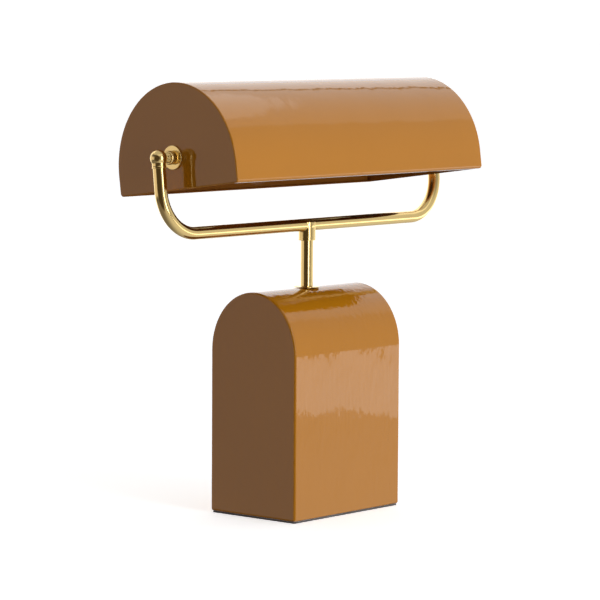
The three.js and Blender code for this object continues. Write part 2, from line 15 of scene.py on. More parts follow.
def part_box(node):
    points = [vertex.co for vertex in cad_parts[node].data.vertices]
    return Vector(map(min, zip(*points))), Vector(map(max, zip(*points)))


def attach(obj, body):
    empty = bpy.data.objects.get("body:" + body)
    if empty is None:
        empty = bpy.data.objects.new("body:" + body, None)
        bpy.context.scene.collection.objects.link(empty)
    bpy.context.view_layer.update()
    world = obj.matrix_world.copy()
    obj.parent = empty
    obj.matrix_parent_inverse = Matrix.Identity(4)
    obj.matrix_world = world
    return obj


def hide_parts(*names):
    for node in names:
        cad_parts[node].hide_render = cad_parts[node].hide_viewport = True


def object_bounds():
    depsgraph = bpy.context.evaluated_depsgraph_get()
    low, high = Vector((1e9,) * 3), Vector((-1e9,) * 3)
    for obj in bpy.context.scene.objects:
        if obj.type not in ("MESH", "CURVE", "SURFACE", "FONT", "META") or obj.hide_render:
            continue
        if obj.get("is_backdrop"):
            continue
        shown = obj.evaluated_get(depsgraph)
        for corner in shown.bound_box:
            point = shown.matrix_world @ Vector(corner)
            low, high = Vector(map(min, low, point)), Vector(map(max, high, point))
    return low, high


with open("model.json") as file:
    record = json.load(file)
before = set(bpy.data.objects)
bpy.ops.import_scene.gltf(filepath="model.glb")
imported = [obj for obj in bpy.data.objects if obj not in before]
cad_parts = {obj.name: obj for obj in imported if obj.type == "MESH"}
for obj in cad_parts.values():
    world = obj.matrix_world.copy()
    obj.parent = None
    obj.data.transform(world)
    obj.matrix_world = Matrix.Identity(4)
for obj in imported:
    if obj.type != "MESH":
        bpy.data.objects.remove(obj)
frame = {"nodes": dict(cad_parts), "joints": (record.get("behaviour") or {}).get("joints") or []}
cad_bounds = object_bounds()

MM = 0.001
SIDES = {"left": -1, "right": 1}

# ------------------------------------------------------------------ the camera's place

CAMERA_TARGET = Vector((-4.6, 4.8, 210.2)) * MM
CAMERA_DISTANCE = 3.170
CAMERA_AZIMUTH = math.radians(-49.59)    # 0 looks along +Y
CAMERA_ELEVATION = math.radians(5.36)
CAMERA_ROLL = math.radians(0.33)
CAMERA_LENS = 190.7


def make_camera():
    turn = (
        Matrix.Rotation(CAMERA_AZIMUTH, 4, "Z")
        @ Matrix.Rotation(math.pi / 2 - CAMERA_ELEVATION, 4, "X")
        @ Matrix.Rotation(CAMERA_ROLL, 4, "Z")
    )
    data = bpy.data.cameras.new("camera")
    data.lens = CAMERA_LENS
    camera = bpy.data.objects.new("camera", data)
    back = turn.to_3x3() @ Vector((0, 0, 1))
    camera.matrix_world = Matrix.Translation(CAMERA_TARGET + CAMERA_DISTANCE * back) @ turn
    bpy.context.scene.collection.objects.link(camera)
    bpy.context.scene.camera = camera


# ------------------------------------------------------------------------- mesh tools


def new_piece(name, vertices, faces):
    mesh = bpy.data.meshes.new(name)
    mesh.from_pydata(vertices, [], faces)
    mesh.update()
    piece = bpy.data.objects.new(name, mesh)
    bpy.context.scene.collection.objects.link(piece)
    return piece


def arc(centre, radii, start, end, steps):
    """Points of an elliptical arc in a plane, between two angles in degrees."""
    points = []
    for i in range(steps + 1):
        angle = math.radians(start + (end - start) * i / steps)
        points.append(
            (centre[0] + radii[0] * math.cos(angle), centre[1] + radii[1] * math.sin(angle))
        )
    return points


def rounded(corners, radius, steps=4):
    """An open line through corners, each inner one rounded to the radius or to what fits."""
    points = [Vector(corners[0])]
    for before, corner, after in zip(corners, corners[1:], corners[2:]):
        corner = Vector(corner)
        back, ahead = Vector(before) - corner, Vector(after) - corner
        turn = math.pi - back.angle(ahead)
        if turn < math.radians(1):
            points.append(corner)
            continue
        reach = min(radius * math.tan(turn / 2), 0.45 * back.length, 0.45 * ahead.length)
        first, last = corner + back.normalized() * reach, corner + ahead.normalized() * reach
        for i in range(steps + 1):
            t = i / steps
            points.append(first * (1 - t) ** 2 + corner * 2 * t * (1 - t) + last * t * t)
    points.append(Vector(corners[-1]))
    return [tuple(point) for point in points]


def turned(name, section, place, sides=72, closed=False, radius_at=None):
    """A turned piece from (radius, height) pairs about the z axis of the matrix place.

    closed joins the section's end to its start. radius_at(radius, height, angle) may
    change the radius round the piece, for threads and flutes.
    """
    vertices, rings = [], []
    for radius, height in section:
        count = sides if radius > 1e-6 else 1
        rings.append(range(len(vertices), len(vertices) + count))
        for i in range(count):
            angle = 2 * math.pi * i / sides
            r = radius_at(radius, height, angle) if radius_at and count > 1 else radius
            vertices.append(place @ Vector((r * math.cos(angle), r * math.sin(angle), height)))
    pairs = list(zip(rings, rings[1:]))
    if closed:
        pairs.append((rings[-1], rings[0]))
    faces = []
    for low, high in pairs:
        for i in range(sides):
            j = (i + 1) % sides
            corners = [
                low[i % len(low)], low[j % len(low)], high[j % len(high)], high[i % len(high)]
            ]
            face = list(dict.fromkeys(corners))
            if len(face) > 2:
                faces.append(face)
    return new_piece(name, vertices, faces)


def cylinder(name, radius, low, high, place, sides=72):
    return turned(name, [(0, low), (radius, low), (radius, high), (0, high)], place, sides)


def ring(name, bore, radius, low, high, rounding, place, sides=72):
    """A turned ring or tube with softly rounded corners."""
    section = rounded([(bore, low), (radius, low), (radius, high), (bore, high), (bore, low)],
                      rounding)[:-1]
    return turned(name, section, place, sides, closed=True)


def swept(name, path, radius, normal, sides=48):
    """A round bar along a path that lies in the plane with this normal."""
    vertices = []
    for i, point in enumerate(path):
        tangent = (path[min(i + 1, len(path) - 1)] - path[max(i - 1, 0)]).normalized()
        side = tangent.cross(normal)
        for k in range(sides):
            angle = 2 * math.pi * k / sides
            vertices.append(point + radius * (math.cos(angle) * side + math.sin(angle) * normal))
    faces = [tuple(range(sides)), tuple(range(len(vertices) - 1, len(vertices) - sides - 1, -1))]
    for i in range(len(path) - 1):
        for k in range(sides):
            a, b = i * sides + k, i * sides + (k + 1) % sides
            faces.append((a, a + sides, b + sides, b))
    return new_piece(name, vertices, faces)


def prism(name, outline, start, end):
    """A closed (y, z) outline stretched along X between two stations."""
    count = len(outline)
    vertices = [(x, y, z) for x in (start, end) for y, z in outline]
    faces = [tuple(range(count - 1, -1, -1)), tuple(range(count, 2 * count))]
    for i in range(count):
        j = (i + 1) % count
        faces.append((i, j, j + count, i + count))
    piece = new_piece(name, vertices, faces)
    face_outwards(piece)
    return piece


def block(name, low, high):
    """A plain cutting block between two corners."""
    return prism(name, [(low[1], low[2]), (high[1], low[2]), (high[1], high[2]),
                        (low[1], high[2])], low[0], high[0])


def face_outwards(piece):
    work = bmesh.new()
    work.from_mesh(piece.data)
    bmesh.ops.recalc_face_normals(work, faces=work.faces)
    work.to_mesh(piece.data)
    work.free()


def apply_modifiers(piece):
    bpy.context.view_layer.update()
    graph = bpy.context.evaluated_depsgraph_get()
    mesh = bpy.data.meshes.new_from_object(piece.evaluated_get(graph))
    piece.modifiers.clear()
    piece.data = mesh


def bevel(piece, width, segments, from_angle=40):
    modifier = piece.modifiers.new("bevel", "BEVEL")
    modifier.width = width
    modifier.segments = segments
    modifier.limit_method = "ANGLE"
    modifier.angle_limit = math.radians(from_angle)
    modifier.harden_normals = False
    apply_modifiers(piece)


def combine(piece, operation, *tools):
    for tool in tools:
        face_outwards(tool)
        modifier = piece.modifiers.new("combine", "BOOLEAN")
        modifier.operation = operation
        modifier.solver = "EXACT"
        modifier.object = tool
        apply_modifiers(piece)
        bpy.data.objects.remove(tool)


def shade_smooth(piece, sharp_angle=35):
    """Smooth shading with crisp edges past an angle, and flat faces kept flat."""
    piece.data.polygons.foreach_set("use_smooth", [True] * len(piece.data.polygons))
    piece.data.set_sharp_from_angle(angle=math.radians(sharp_angle))
    modifier = piece.modifiers.new("weighted", "WEIGHTED_NORMAL")
    modifier.keep_sharp = True
    modifier.weight = 80
    apply_modifiers(piece)


def place_piece(piece, body, slot, finish, *stands_for, sharp_angle=35):
    """Closes a piece's making: shading, finish, CAD body and the nodes it stands for. The slot
    argument is not used.
    """
    face_outwards(piece)
    shade_smooth(piece, sharp_angle)
    piece.data.materials.clear()
    piece.data.materials.append(finish)
    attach(piece, body)
    if stands_for:
        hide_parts(*stands_for)


# --------------------------------------------------------------------------- finishes


class Nodes:
    """A node tree with short calls for the nodes that the finishes share."""

    def __init__(self, tree):
        self.tree = tree
        tree.nodes.clear()

    def new(self, kind, settings=None, **inputs):
        node = self.tree.nodes.new(kind)
        for key, value in (settings or {}).items():
            setattr(node, key, value)
        for key, value in inputs.items():
            self.feed(node.inputs[key.replace("_", " ")], value)
        return node

    def feed(self, socket, value):
        if isinstance(value, bpy.types.NodeSocket):
            self.tree.links.new(value, socket)
        else:
            socket.default_value = value

    def math(self, operation, first, second=0.0, clamp=False):
        node = self.new("ShaderNodeMath", {"operation": operation, "use_clamp": clamp})
        self.feed(node.inputs[0], first)
        self.feed(node.inputs[1], second)
        return node.outputs[0]

    def ramp(self, value, low, high, from_low=0.0, from_high=1.0, smooth=False):
        settings = {"interpolation_type": "SMOOTHSTEP" if smooth else "LINEAR"}
        node = self.new("ShaderNodeMapRange", settings, Value=value, From_Min=from_low,
                        From_Max=from_high, To_Min=low, To_Max=high)
        return node.outputs["Result"]

    def vary(self, noise, low, high):
        """A level between two values that follows a noise, which rarely leaves 0.3 to 0.7."""
        return self.ramp(noise, low, high, 0.3, 0.7)

    def mix(self, factor, first, second):
        node = self.new("ShaderNodeMix", {"data_type": "RGBA"})
        self.feed(node.inputs["Factor"], factor)
        self.feed(node.inputs[6], first)
        self.feed(node.inputs[7], second)
        return node.outputs[2]

    def place(self, stretch=(1, 1, 1), shift=(0, 0, 0)):
        """Metres on the piece, stretched along each axis, for a texture to read."""
        where = self.new("ShaderNodeTexCoord").outputs["Object"]
        mapping = self.new("ShaderNodeMapping", Vector=where, Scale=stretch, Location=shift)
        return mapping.outputs[0]

    def noise(self, size, detail=2.0, stretch=(1, 1, 1), shift=(0, 0, 0), roughness=0.5):
        """Cloudy variation whose features are about this many metres across."""
        node = self.new("ShaderNodeTexNoise", Vector=self.place(stretch, shift),
                        Scale=1 / size, Detail=detail, Roughness=roughness)
        return node.outputs["Fac"]

    def relief(self, *layers):
        """Bump from (height, metres) layers, added one over another."""
        normal = None
        for height, metres in layers:
            node = self.new("ShaderNodeBump", Height=height, Distance=metres, Strength=1.0)
            if normal is not None:
                self.feed(node.inputs["Normal"], normal)
            normal = node.outputs[0]
        return normal


def new_finish(name, **sockets):
    """A Principled material whose uniform values sit on the shader's own sockets."""
    material = bpy.data.materials.new(name)
    material.use_nodes = True
    nodes = Nodes(material.node_tree)
    shader = nodes.new("ShaderNodeBsdfPrincipled", **sockets)
    output = nodes.new("ShaderNodeOutputMaterial")
    nodes.tree.links.new(shader.outputs[0], output.inputs[0])
    return material, nodes, shader


def shades_of(color, spread):
    """A darker and a lighter version of one colour."""
    return [tuple(min(1.0, c * k) for c in color) + (1.0,) for k in (1 - spread, 1 + spread)]


LACQUER = (0.45, 0.172, 0.006)
# Darker brown for the inside of the shade: painted shade standing in for the little light that
# reaches its hollow; the real lacquer is the same inside and out
PAINTED_SHADE_LACQUER = (0.27, 0.097, 0.015)
BRASS = (0.86, 0.635, 0.268)
FELT = (0.03, 0.024, 0.02)
OPAL = (0.86, 0.84, 0.79)

WAVE_DEPTH = 0.45 * MM            # relief of the lacquered sheets, from broad to fine
RIPPLE_DEPTH = 0.12 * MM
BASE_STREAK_DEPTH = 0.24 * MM
SHADE_STREAK_DEPTH = 0.05 * MM
PEEL_DEPTH = 0.002 * MM
SWELL_DEPTH = 0.012 * MM          # unevenness left in brass by hand polishing
FELT_DEPTH = 0.5 * MM
OPAL_DEPTH = 0.01 * MM


def make_lacquer(name, color, streak_depth):
    """Sprayed high-gloss lacquer: slight orange peel over a hand-finished, wavy sheet."""
    material, nodes, shader = new_finish(name, IOR=1.5)
    clouds = nodes.noise(0.09, detail=3)
    nodes.feed(shader.inputs["Base Color"], nodes.mix(clouds, *shades_of(color, 0.05)))
    haze = nodes.noise(0.03, detail=4, shift=(3, 1, 2))
    nodes.feed(shader.inputs["Roughness"], nodes.vary(haze, 0.02, 0.06))
    waves = nodes.noise(0.05, detail=1, shift=(5, 7, 2))
    ripples = nodes.noise(0.016, detail=1, stretch=(1, 1, 0.35))
    streaks = nodes.noise(0.0045, detail=2, stretch=(1, 1, 0.2))
    peel = nodes.noise(0.0022, detail=1)
    normal = nodes.relief((waves, WAVE_DEPTH), (ripples, RIPPLE_DEPTH),
                          (streaks, streak_depth), (peel, PEEL_DEPTH))
    nodes.feed(shader.inputs["Normal"], normal)
    return material


def make_brass(name, roughness, stretch, mark_depth):
    """Polished brass with faint marks left by the buffing wheel or the lathe."""
    material, nodes, shader = new_finish(name, Metallic=1.0)
    clouds = nodes.noise(0.02, detail=3)
    nodes.feed(shader.inputs["Base Color"], nodes.mix(clouds, *shades_of(BRASS, 0.04)))
    smears = nodes.noise(0.006, detail=4, stretch=stretch)
    level = nodes.vary(smears, roughness * 0.75, roughness * 1.3)
    nodes.feed(shader.inputs["Roughness"], level)
    marks = nodes.noise(0.0006, detail=3, stretch=stretch)
    swells = nodes.noise(0.012, detail=1)
    nodes.feed(shader.inputs["Normal"], nodes.relief((swells, SWELL_DEPTH), (marks, mark_depth)))
    return material


def make_plain_metal(name, color, roughness, grain, depth, metallic=1.0):
    """Zinc-plated, drawn or cast metal: mottled colour, a grain and its own roughness."""
    material, nodes, shader = new_finish(name, Metallic=metallic)
    mottle = nodes.noise(grain * 8, detail=4)
    nodes.feed(shader.inputs["Base Color"], nodes.mix(mottle, *shades_of(color, 0.15)))
    patches = nodes.noise(grain * 3, detail=3, shift=(1, 2, 3))
    level = nodes.vary(patches, roughness * 0.8, roughness * 1.25)
    nodes.feed(shader.inputs["Roughness"], level)
    nodes.feed(shader.inputs["Normal"], nodes.relief((nodes.noise(grain, detail=3), depth)))
    return material


def make_felt():
    """Pressed wool felt: short tangled fibres and a soft sheen."""
    material, nodes, shader = new_finish(
        "dark_felt", Roughness=0.95, Sheen_Weight=0.6, Sheen_Roughness=0.6)
    fibres = nodes.noise(0.0006, detail=6, stretch=(1, 0.4, 1), roughness=0.7)
    crossed = nodes.noise(0.0007, detail=6, stretch=(0.4, 1, 1), shift=(2, 4, 0), roughness=0.7)
    tangle = nodes.math("MULTIPLY", fibres, crossed)
    color = nodes.mix(nodes.ramp(tangle, 0, 1, 0.12, 0.4), *shades_of(FELT, 0.5))
    nodes.feed(shader.inputs["Base Color"], color)
    nodes.feed(shader.inputs["Normal"], nodes.relief((tangle, FELT_DEPTH)))
    return material


def make_plastic(name, color, roughness, grain, depth):
    """Moulded plastic, phenolic or rubber with a fine mould texture."""
    material, nodes, shader = new_finish(name, IOR=1.5)
    mottle = nodes.noise(0.012, detail=4)
    nodes.feed(shader.inputs["Base Color"], nodes.mix(mottle, *shades_of(color, 0.2)))
    level = nodes.vary(nodes.noise(0.004, detail=3), roughness * 0.85, roughness * 1.15)
    nodes.feed(shader.inputs["Roughness"], level)
    nodes.feed(shader.inputs["Normal"], nodes.relief((nodes.noise(grain, detail=2), depth)))
    return material


def make_opal():
    """Satin opal glass, lit through from behind as well as in front."""
    material, nodes, shader = new_finish(
        "opal_glass", IOR=1.5, Subsurface_Weight=0.6, Subsurface_Scale=0.006,
        Subsurface_Radius=(1.0, 0.95, 0.85))
    clouds = nodes.noise(0.02, detail=2)
    nodes.feed(shader.inputs["Base Color"], nodes.mix(clouds, *shades_of(OPAL, 0.03)))
    level = nodes.vary(nodes.noise(0.008, detail=3), 0.22, 0.32)
    nodes.feed(shader.inputs["Roughness"], level)
    nodes.feed(shader.inputs["Normal"], nodes.relief((nodes.noise(0.004), OPAL_DEPTH)))
    return material


base_lacquer = make_lacquer("base_lacquer", LACQUER, BASE_STREAK_DEPTH)
shade_lacquer = make_lacquer("shade_lacquer", LACQUER, SHADE_STREAK_DEPTH)
# A darker copy of the shade's lacquer for its inside: painted shade
painted_shade_lacquer = make_lacquer("painted_shade_lacquer", PAINTED_SHADE_LACQUER, SHADE_STREAK_DEPTH)
tube_brass = make_brass("tube_brass", 0.13, (0.3, 1, 1), 0.0006 * MM)
turned_brass = make_brass("turned_brass", 0.19, (1.6, 0.7, 0.7), 0.0005 * MM)
steel = make_plain_metal("zinc_steel", (0.55, 0.56, 0.57), 0.34, 0.0009, 0.004 * MM)
iron = make_plain_metal("cast_iron", (0.05, 0.05, 0.048), 0.75, 0.0012, 0.12 * MM, metallic=0.4)
aluminium = make_plain_metal("cap_aluminium", (0.62, 0.63, 0.64), 0.3, 0.0006, 0.002 * MM)
felt = make_felt()
rubber = make_plastic("black_rubber", (0.016, 0.016, 0.016), 0.65, 0.0004, 0.01 * MM)
phenolic = make_plastic("black_plastic", (0.02, 0.018, 0.016), 0.32, 0.0007, 0.004 * MM)
insulation = make_plastic("lead_insulation", (0.7, 0.66, 0.55), 0.45, 0.0005, 0.003 * MM)
opal = make_opal()

# ------------------------------------------------------------------ where the CAD puts it

TUBE_FIT = 0.1 * MM               # clearance of a tube in its socket
NUT_FIT = 5.1 * MM                # bore of what slides over an M10 thread
OVERCUT = 5 * MM                  # how far a cutting tool reaches past its work
EDGE_SEGMENTS = 4

base_low, base_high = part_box("base_wrap")
base_half_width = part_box("base_end_right")[1].x
base_half_depth = base_high.y
stem_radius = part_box("stem_tube")[1].x
bar_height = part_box("yoke_tube")[0].z + stem_radius
ball_low, ball_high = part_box("yoke_ball_right")
half_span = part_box("yoke_tube")[1].x - stem_radius
ball_radius = (ball_high.y - ball_low.y) / 2
pivot = Vector(frame["joints"][0]["pos_m"])
yoke_lean = math.atan2(pivot.y, pivot.z - bar_height)
yoke_arm = math.hypot(pivot.y, pivot.z - bar_height)
yoke_place = Matrix.Translation((0, 0, bar_height)) @ Matrix.Rotation(-yoke_lean, 4, "X")


def spring_height(node, half_depth):
    """Height where a level arch's straight sides end, read from its CAD node."""
    sides = [v.co.z for v in frame["nodes"][node].data.vertices
             if abs(abs(v.co.y) - half_depth) < 0.01 * MM]
    return max(sides)


def axis_place(side, station):
    """Matrix whose z axis runs outwards along the pivot axis, from a station on it."""
    turn = Matrix.Rotation(SIDES[side] * math.pi / 2, 4, "Y")
    return Matrix.Translation((SIDES[side] * station, pivot.y, pivot.z)) @ turn


def axis_extent(node):
    """Inner end, length and radius of a CAD node that sits round the pivot axis."""
    low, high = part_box(node)
    start, end = sorted((abs(low.x), abs(high.x)))
    return start, end - start, (high.z - low.z) / 2


# ------------------------------------------------------------------------- the housing

ARCH_STEPS = 120
HOUSING_EDGE = 2.2 * MM
HOUSING_SHEET = 1.5 * MM
OUTSIDE_SHARP = 50                # degrees past which a lacquered edge is crisp
CORD_HOLE_RADIUS = 6 * MM
HOLE_DEPTH = 40 * MM
CORD_HOLE_START = 10 * MM         # outside the rear wall
STEM_HOLE_START = 20 * MM         # below the crown
STEM_HOLE_FIT = 0.2 * MM


def arch_outline(half_depth, spring, rise, foot, inset=0.0):
    crown = arc((0, spring), (half_depth - inset, rise - inset), 0, 180, ARCH_STEPS)
    return [(half_depth - inset, foot)] + crown + [(inset - half_depth, foot)]


def make_housing():
    spring = spring_height("base_wrap", base_half_depth)
    rise = base_high.z - spring
    outline = arch_outline(base_half_depth, spring, rise, base_low.z)
    housing = prism("lacquered_housing", outline, -base_half_width, base_half_width)
    bevel(housing, HOUSING_EDGE, EDGE_SEGMENTS)
    inside = arch_outline(base_half_depth, spring, rise, base_low.z - OVERCUT, HOUSING_SHEET)
    inner_width = base_half_width - HOUSING_SHEET
    hollow = prism("hollow", inside, -inner_width, inner_width)
    grommet_low, grommet_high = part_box("cord_grommet")
    grommet_height = (grommet_low.z + grommet_high.z) / 2
    from_behind = (Matrix.Translation((0, base_half_depth + CORD_HOLE_START, grommet_height))
                   @ Matrix.Rotation(math.pi / 2, 4, "X"))
    cord_hole = cylinder("cord_hole", CORD_HOLE_RADIUS, 0, HOLE_DEPTH, from_behind)
    stem_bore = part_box("stem_nipple")[1].x + STEM_HOLE_FIT
    stem_hole = cylinder("stem_hole", stem_bore, 0, HOLE_DEPTH,
                         Matrix.Translation((0, 0, base_high.z - STEM_HOLE_START)))
    combine(housing, "DIFFERENCE", hollow, cord_hole, stem_hole)
    place_piece(housing, "base", "caramel_lacquer", base_lacquer,
                "base_wrap", "base_end_left", "base_end_right", sharp_angle=OUTSIDE_SHARP)


PAD_CORNER = 2.5 * MM
PAD_EDGE = 0.35 * MM


def make_felt_pad():
    low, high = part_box("felt_pad")
    outline = []
    for sx, sy, start in ((1, 1, 0), (-1, 1, 90), (-1, -1, 180), (1, -1, 270)):
        centre = (sx * (high.x - PAD_CORNER), sy * (high.y - PAD_CORNER))
        outline += arc(centre, (PAD_CORNER, PAD_CORNER), start, start + 90, 6)
    count = len(outline)
    vertices = [(x, y, z) for z in (low.z, high.z) for x, y in outline]
    faces = [tuple(range(count - 1, -1, -1)), tuple(range(count, 2 * count))]
    faces += [(i, (i + 1) % count, (i + 1) % count + count, i + count) for i in range(count)]
    pad = new_piece("felt_foot", vertices, faces)
    bevel(pad, PAD_EDGE, 3)
    place_piece(pad, "base", "dark_felt", felt, "felt_pad")


GROMMET_BORE = 3.6 * MM
GROMMET_GROOVE = 5.8 * MM         # radius at the bottom of the groove
GROMMET_OUTER_LIP = 2.0 * MM
GROMMET_INNER_LIP = 1.5 * MM
GROMMET_MOUTH = 0.8 * MM          # flare of the bore towards the outside
GROMMET_CHAMFER = (1.2 * MM, 0.9 * MM)
GROMMET_EDGE = 0.5 * MM


def make_grommet():
    low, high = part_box("cord_grommet")
    flange = (high.x - low.x) / 2
    depth = high.y - low.y
    corners = [
        (GROMMET_BORE, GROMMET_MOUTH), (GROMMET_BORE + GROMMET_MOUTH, 0),
        (flange - GROMMET_CHAMFER[0], 0), (flange, GROMMET_CHAMFER[1]),
        (flange, GROMMET_OUTER_LIP), (GROMMET_GROOVE, GROMMET_OUTER_LIP),
        (GROMMET_GROOVE, depth - GROMMET_INNER_LIP), (flange, depth - GROMMET_INNER_LIP),
        (flange, depth), (GROMMET_BORE, depth), (GROMMET_BORE, GROMMET_MOUTH),
    ]
    section = rounded(corners, GROMMET_EDGE)[:-1]
    place = (Matrix.Translation((0, high.y, (low.z + high.z) / 2))
             @ Matrix.Rotation(math.pi / 2, 4, "X"))
    piece = turned("rubber_grommet", section, place, closed=True)
    place_piece(piece, "base", "black_rubber", rubber, "cord_grommet")


# ------------------------------------------------------------------- stem, tee and yoke


UPRIGHT = Matrix.Identity(4)
SEAT_WASHER_BORE = 5.2 * MM
SEAT_WASHER_EDGE = 0.3 * MM
STEM_WALL = 1 * MM
STEM_EDGE = 0.25 * MM
FINE_SIDES = 96


def make_stem():
    low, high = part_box("stem_washer")
    washer = ring("seat_washer", SEAT_WASHER_BORE, high.x, low.z, high.z, SEAT_WASHER_EDGE,
                  UPRIGHT, FINE_SIDES)
    place_piece(washer, "base", "polished_brass", turned_brass, "stem_washer")

    low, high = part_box("stem_tube")
    tube = ring("stem", high.x - STEM_WALL, high.x, low.z, high.z, STEM_EDGE, UPRIGHT)
    place_piece(tube, "base", "polished_brass", tube_brass, "stem_tube")


TEE_VOXEL = 0.35 * MM
TEE_REACH = 16 * MM               # how far the fillets may run along the bar
TEE_DOME = 3 * MM                 # height of the cone that closes the collar inside the bar
TEE_OVERLAP = 1 * MM
TEE_RIM = 2 * MM                  # crisp rim at the collar's foot
TEE_BLEND = 3 * MM                # from crisp to fully softened
TEE_SOFTNESS = 0.6
TEE_ROUNDS = 14
SLEEVE_INSET = 0.15 * MM
BAR_FIT = 0.05 * MM


def level_rod(name, radius, half_length):
    place = Matrix.Translation((0, 0, bar_height)) @ Matrix.Rotation(math.pi / 2, 4, "Y")
    return cylinder(name, radius, -half_length, half_length, place)


def make_tee():
    """Cast tee: a collar that flows into a saddle round the bar through a soft fillet."""
    low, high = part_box("tee_collar")
    radius = high.x
    corners = [(0, low.z), (radius, low.z), (radius, bar_height - TEE_DOME), (0, bar_height)]
    tee = turned("tee", corners, UPRIGHT)
    column = cylinder("column", radius, low.z + TEE_OVERLAP, high.z, UPRIGHT)
    saddle = level_rod("saddle", high.y, TEE_REACH)
    combine(saddle, "INTERSECT", column)
    combine(tee, "UNION", saddle, level_rod("sleeve", stem_radius - SLEEVE_INSET, TEE_REACH))
    remesh = tee.modifiers.new("remesh", "REMESH")
    remesh.mode = "VOXEL"
    remesh.voxel_size = TEE_VOXEL
    apply_modifiers(tee)
    soft = tee.vertex_groups.new(name="soft")
    rim_top = low.z + TEE_RIM
    for vertex in tee.data.vertices:
        weight = min(1.0, max(0.0, (vertex.co.z - rim_top) / TEE_BLEND))
        soft.add([vertex.index], weight, "REPLACE")
    smooth = tee.modifiers.new("smooth", "SMOOTH")
    smooth.factor = TEE_SOFTNESS
    smooth.iterations = TEE_ROUNDS
    smooth.vertex_group = "soft"
    apply_modifiers(tee)
    socket = cylinder("socket", stem_radius + TUBE_FIT, low.z - OVERCUT, bar_height, UPRIGHT)
    bar = level_rod("bar", stem_radius + BAR_FIT, TEE_REACH + OVERCUT)
    combine(tee, "DIFFERENCE", socket, bar)
    place_piece(tee, "base", "polished_brass", turned_brass, "tee_collar")


YOKE_BEND = 43.5 * MM
BEND_STEPS = 32
ARM_END = 5.6 * MM                # top of the arm's tube below the pivot axis
BALL_DROP = 9.6 * MM              # foot of the ball's collar below the pivot axis
BALL_LIP = 7.0 * MM
BALL_LIP_HEIGHT = 1.6 * MM
BALL_NECK = 6.75 * MM
BALL_NECK_START = 2.2 * MM
BALL_SOCKET = 3 * MM
BALL_EDGE = 0.3 * MM
BALL_STEPS = 28


def make_yoke():
    arm_top = yoke_arm - ARM_END
    bar_end = half_span - YOKE_BEND
    right = arc((bar_end, YOKE_BEND), (YOKE_BEND, YOKE_BEND), 270, 360, BEND_STEPS)
    right.append((half_span, arm_top))
    left = [(-x, z) for x, z in reversed(right)]
    path = [yoke_place @ Vector((x, 0, z)) for x, z in left + right]
    normal = yoke_place.to_3x3() @ Vector((0, 1, 0))
    yoke = swept("yoke", path, stem_radius, normal)
    place_piece(yoke, "base", "polished_brass", tube_brass, "yoke_tube", sharp_angle=40)

    bore = stem_radius + TUBE_FIT
    meet = math.sqrt(ball_radius ** 2 - BALL_NECK ** 2)
    start = math.degrees(-math.atan2(meet, BALL_NECK))
    skirt = rounded([(bore, BALL_SOCKET - BALL_DROP), (bore, -BALL_DROP), (BALL_LIP, -BALL_DROP),
                     (BALL_LIP, BALL_LIP_HEIGHT - BALL_DROP),
                     (BALL_NECK, BALL_NECK_START - BALL_DROP), (BALL_NECK, -meet)], BALL_EDGE)
    sphere = arc((0, 0), (ball_radius, ball_radius), start, 90, BALL_STEPS)
    section = skirt[:-1] + sphere[:-1] + [(0, ball_radius)]
    for side, sign in SIDES.items():
        place = yoke_place @ Matrix.Translation((sign * half_span, 0, yoke_arm))
        ball = turned(f"ball_{side}", section, place)
        place_piece(ball, "base", "polished_brass", turned_brass, f"yoke_ball_{side}")


# ------------------------------------------------------------------ pivots and lampholders


def thread(pitch, depth, core, start=-math.inf):
    """Radius rule for a real helical thread, cut outside a core radius and past a height."""
    def radius_at(radius, height, angle):
        if radius <= core or height <= start:
            return radius
        return radius - depth * (0.5 - 0.5 * math.cos(2 * math.pi * height / pitch - angle))
    return radius_at


def rows_of(radius, length, spacing):
    """Evenly spaced section points along a turned face, for a thread to be cut into."""
    count = round(length / spacing)
    return [(radius, length * i / count) for i in range(count + 1)]


PIN_BORE = 3.5 * MM
PIN_CORE = 4 * MM
PIN_PITCH = 1 * MM
PIN_THREAD = 0.45 * MM
PIN_ROWS = 0.125 * MM
PIN_SIDES = 48
DISC_EDGE = 0.45 * MM
BEAD_SHOULDER = 5.6 * MM
THREAD_SHARP = 60


def make_pivots():
    for side in SIDES:
        start, length, radius = axis_extent(f"pivot_pin_{side}")
        section = rows_of(radius, length, PIN_ROWS) + [(PIN_BORE, length), (PIN_BORE, 0)]
        pin = turned(f"threaded_pin_{side}", section, axis_place(side, start), PIN_SIDES,
                     closed=True, radius_at=thread(PIN_PITCH, PIN_THREAD, PIN_CORE))
        place_piece(pin, "base", "polished_brass", turned_brass, f"pivot_pin_{side}",
                    sharp_angle=THREAD_SHARP)

        start, length, radius = axis_extent(f"pivot_disc_{side}")
        disc = ring(f"disc_{side}", NUT_FIT, radius, 0, length, DISC_EDGE,
                    axis_place(side, start), FINE_SIDES)
        place_piece(disc, "shade", "polished_brass", turned_brass, f"pivot_disc_{side}")

        start, length, radius = axis_extent(f"pivot_bead_{side}")
        barrel = arc((BEAD_SHOULDER, length / 2), (radius - BEAD_SHOULDER, length / 2),
                     -90, 90, 20)
        section = [(NUT_FIT, 0)] + barrel + [(NUT_FIT, length)]
        bead = turned(f"bead_{side}", section, axis_place(side, start), closed=True)
        place_piece(bead, "shade", "polished_brass", turned_brass, f"pivot_bead_{side}",
                    sharp_angle=THREAD_SHARP)


WASHER_EDGE = 0.25 * MM
NUT_BORE = 4.9 * MM
NUT_CHAMFER = 0.9 * MM
NUT_MARGIN = 1 * MM               # how far the nut's cutting tools stand clear of it
NUT_SHARP = 25


